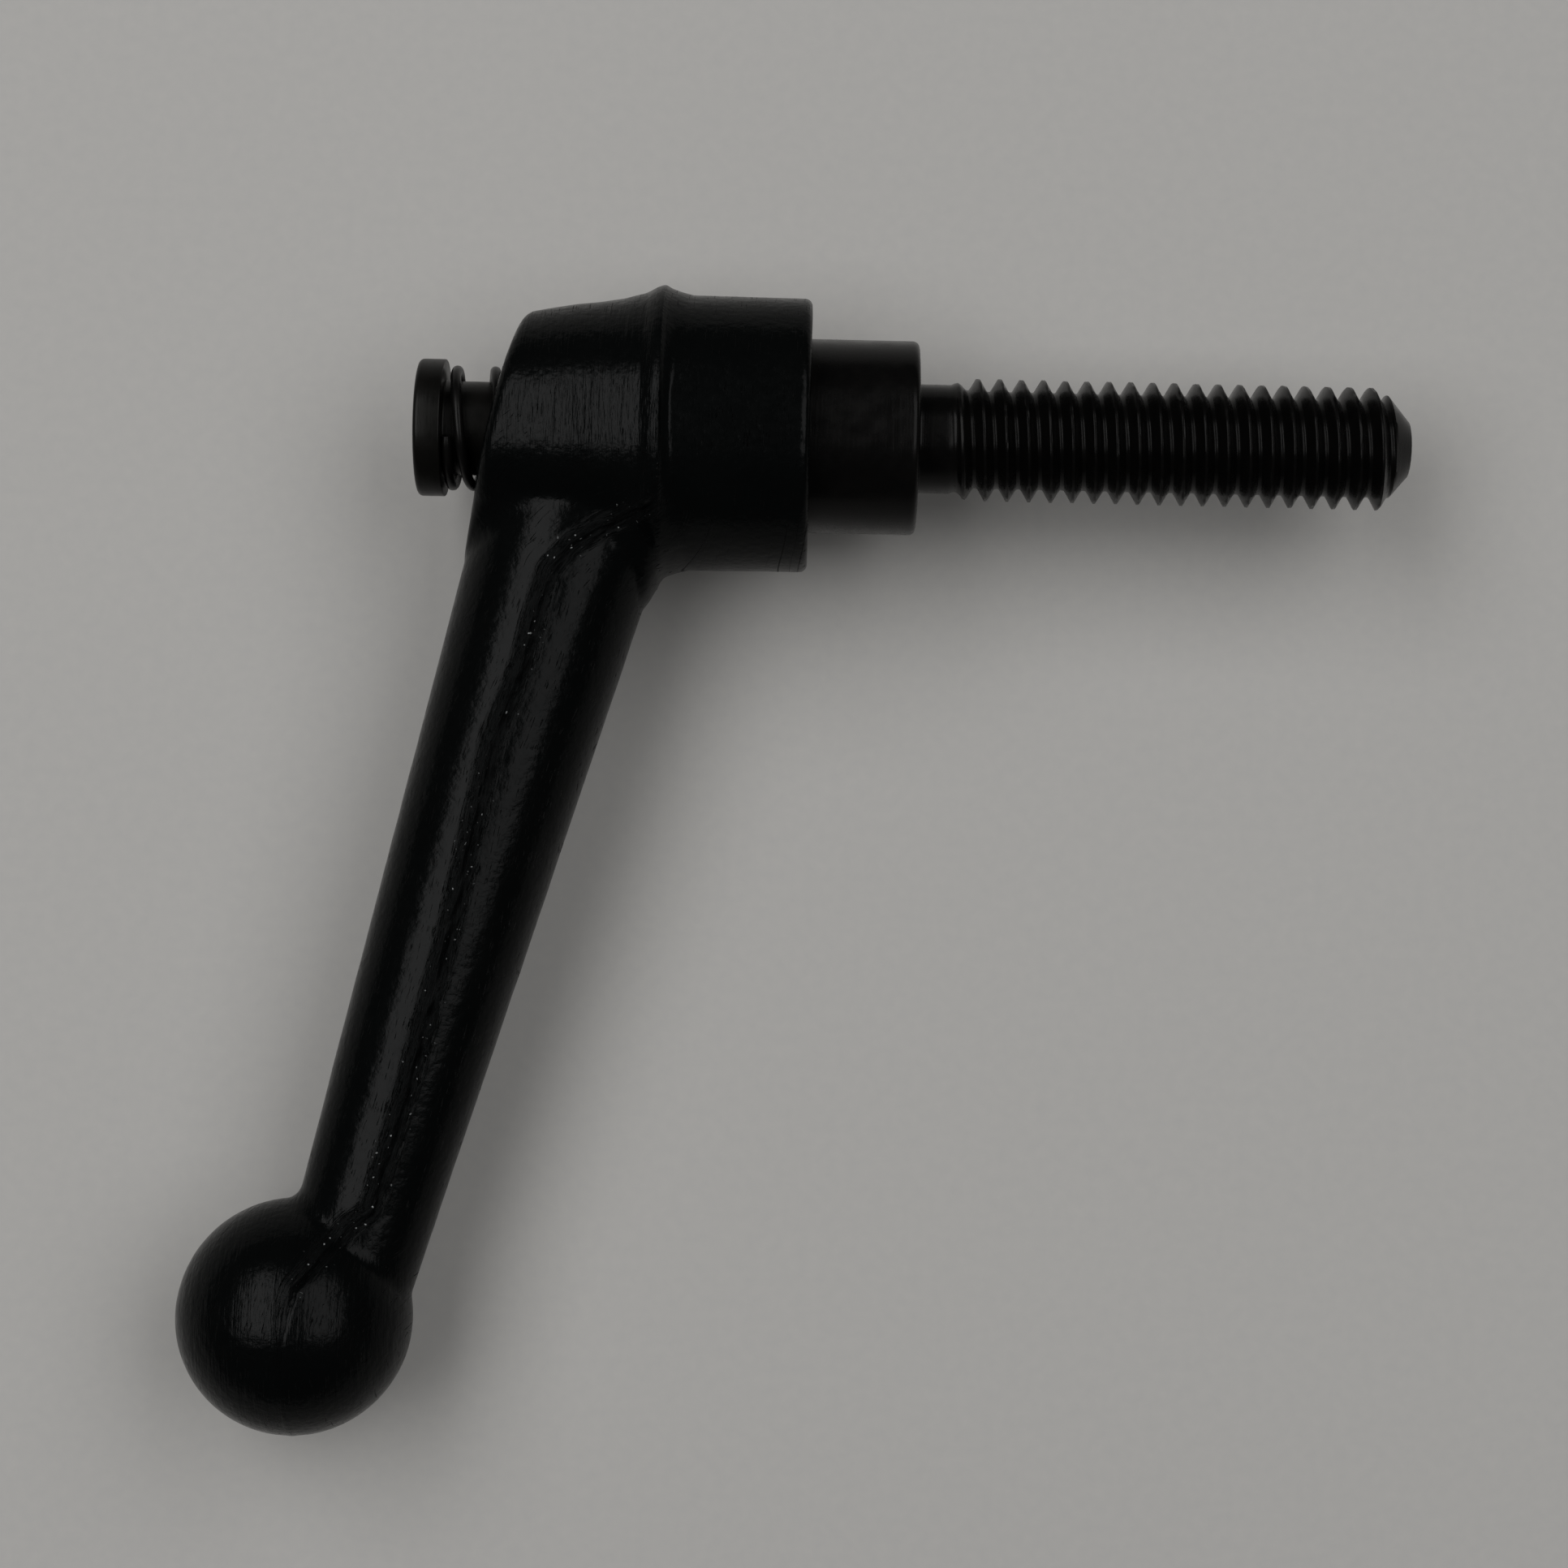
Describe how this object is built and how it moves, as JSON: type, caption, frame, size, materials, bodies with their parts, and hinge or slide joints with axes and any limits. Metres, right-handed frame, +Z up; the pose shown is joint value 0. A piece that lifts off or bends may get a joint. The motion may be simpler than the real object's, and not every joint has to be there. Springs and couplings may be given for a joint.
{
  "type": "adjustable clamping lever",
  "caption": "Ratcheting clamp handle: a black die-cast hub, leaning round arm and ball on a toothed collar with a threaded stud, held by a sprung screw.",
  "frame": {"origin": "centre of the collar's end face, the face that seats on the work, on the stud's axis", "axes": "+X along the stud towards its tip, +Y away from the arm, +Z up from the table that the part lies on"},
  "size_m": [0.0778, 0.0743, 0.019],
  "materials": {
    "black_powder_coat": "satin black powder coat on die-cast zinc",
    "black_oxide_steel": "black oxide on turned and rolled steel",
    "black_oxide_screw": "black oxide on turned steel",
    "black_spring_steel": "oiled black spring wire"
  },
  "bodies": {
    "root": {"toothed_stud": "black_oxide_steel", "retaining_screw": "black_oxide_screw"},
    "spring": {"return_spring": "black_spring_steel"},
    "lever": {"lever": "black_powder_coat"}
  },
  "joints": [
    {"name": "lever_index", "type": "hinge", "parent": "root", "child": "spring", "pos_m": [0, 0, 0], "axis": [1, 0, 0], "continuous": true},
    {"name": "lever_lift", "type": "slide", "parent": "spring", "child": "lever", "axis": [-1, 0, 0], "range_m": [0, 0.003], "stiffness_N_per_m": 1580, "springref_m": -0.004, "deforming": ["return_spring"]}
  ]
}
